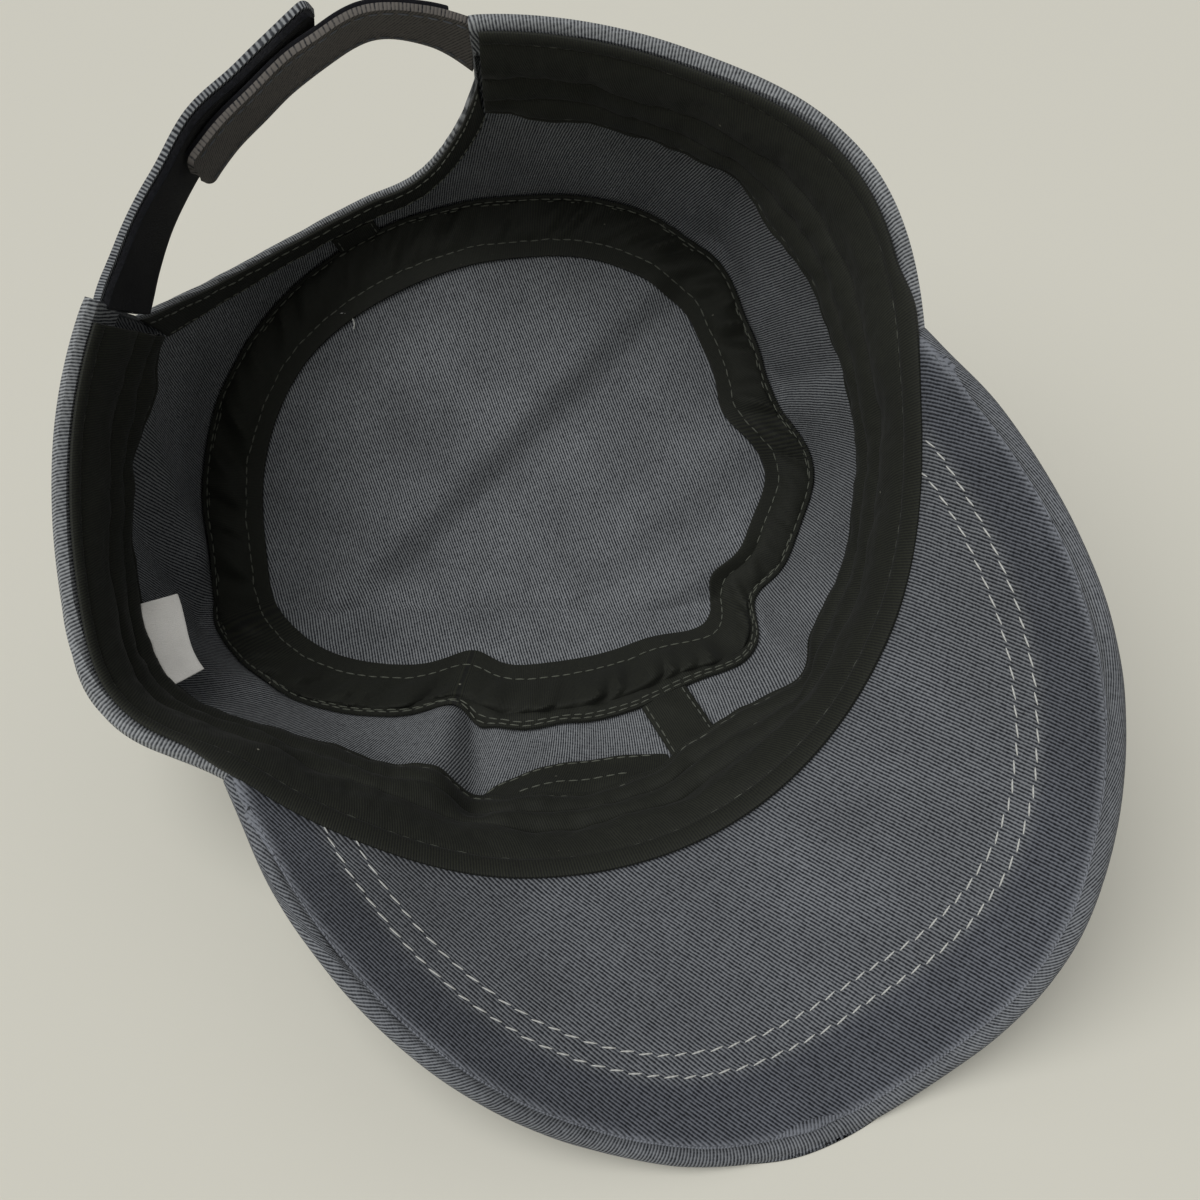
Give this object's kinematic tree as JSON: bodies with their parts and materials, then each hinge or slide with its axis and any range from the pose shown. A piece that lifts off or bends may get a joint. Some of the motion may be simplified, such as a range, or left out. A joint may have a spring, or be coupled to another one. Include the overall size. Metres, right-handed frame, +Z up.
{
  "type": "patrol cap",
  "caption": "Patrol cap of twill lying upside down, tipped onto its curved peak: taped seams, sweatband and a rear hook-and-loop strap over a cut-out.",
  "frame": {"origin": "on the table, below the middle of the whole cap as it lies", "axes": "+Z up from the table, the peak towards -Y and +X, the rear strap towards +Y and -X"},
  "size_m": [0.2022, 0.2228, 0.1461],
  "materials": {
    "twill": "matt blue-grey cotton twill",
    "black_twill": "matt olive-black twill tape",
    "loop_pile": "black looped nylon pile",
    "hook_pile": "black nylon hook tape",
    "label_white": "off-white woven ribbon"
  },
  "bodies": {
    "root": {"crown_top": "twill", "crown_wall_left": "twill", "crown_wall_right": "twill", "top_seam_tape": "black_twill", "front_seam_tape": "black_twill", "back_seam_tape": "black_twill", "sweatband": "black_twill", "pocket_facing": "black_twill", "back_arch_tape": "black_twill", "loop_strap": "twill", "loop_tape": "loop_pile", "hook_strap": "twill", "hook_tape": "hook_pile", "peak_upper": "twill", "peak_under": "twill", "peak_edge_roll": "twill", "care_label": "label_white"}
  },
  "joints": []
}
